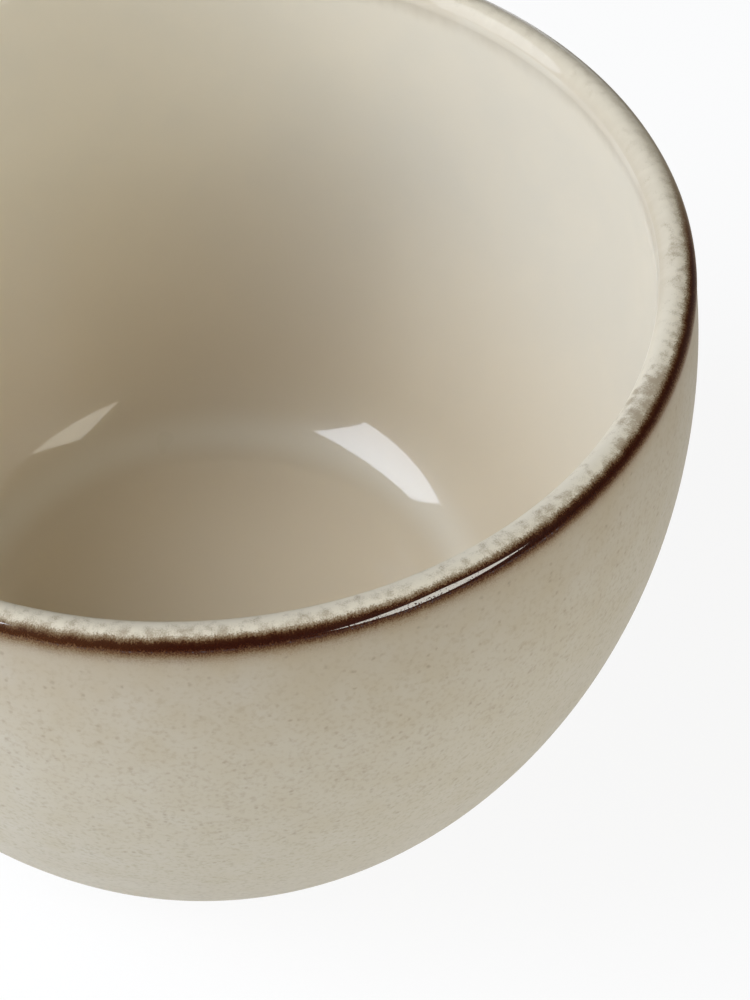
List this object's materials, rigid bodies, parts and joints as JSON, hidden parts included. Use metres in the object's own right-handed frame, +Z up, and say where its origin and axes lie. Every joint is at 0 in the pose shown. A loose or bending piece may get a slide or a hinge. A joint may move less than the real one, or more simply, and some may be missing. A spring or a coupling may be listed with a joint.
{
  "type": "latte bowl",
  "caption": "Deep handle-less stoneware latte bowl with a rounded belly, round lip with a brown glaze band, glazed inside and out, standing on a bare foot ring.",
  "frame": {"origin": "centre of the foot ring's bearing face, on the surface the bowl stands on", "axes": "+Z up along the bowl's axis, out of its mouth; X and Y are alike on a round bowl"},
  "size_m": [0.12, 0.12, 0.081],
  "materials": {
    "bare_clay": "matt fired stoneware, fine grit",
    "cream_lining": "smooth gloss glaze",
    "sand_glaze": "semi-matt reactive glaze with fine specks",
    "brown_band": "gloss iron-brown glaze",
    "pale_crest": "gloss pale glaze with brown specks"
  },
  "bodies": {
    "root": {"stoneware_body": "bare_clay", "foot_ring": "bare_clay", "inner_glaze": "cream_lining", "outer_glaze": "sand_glaze", "rim_band": "brown_band", "lip_glaze": "pale_crest", "base_glaze": "sand_glaze"}
  },
  "joints": []
}
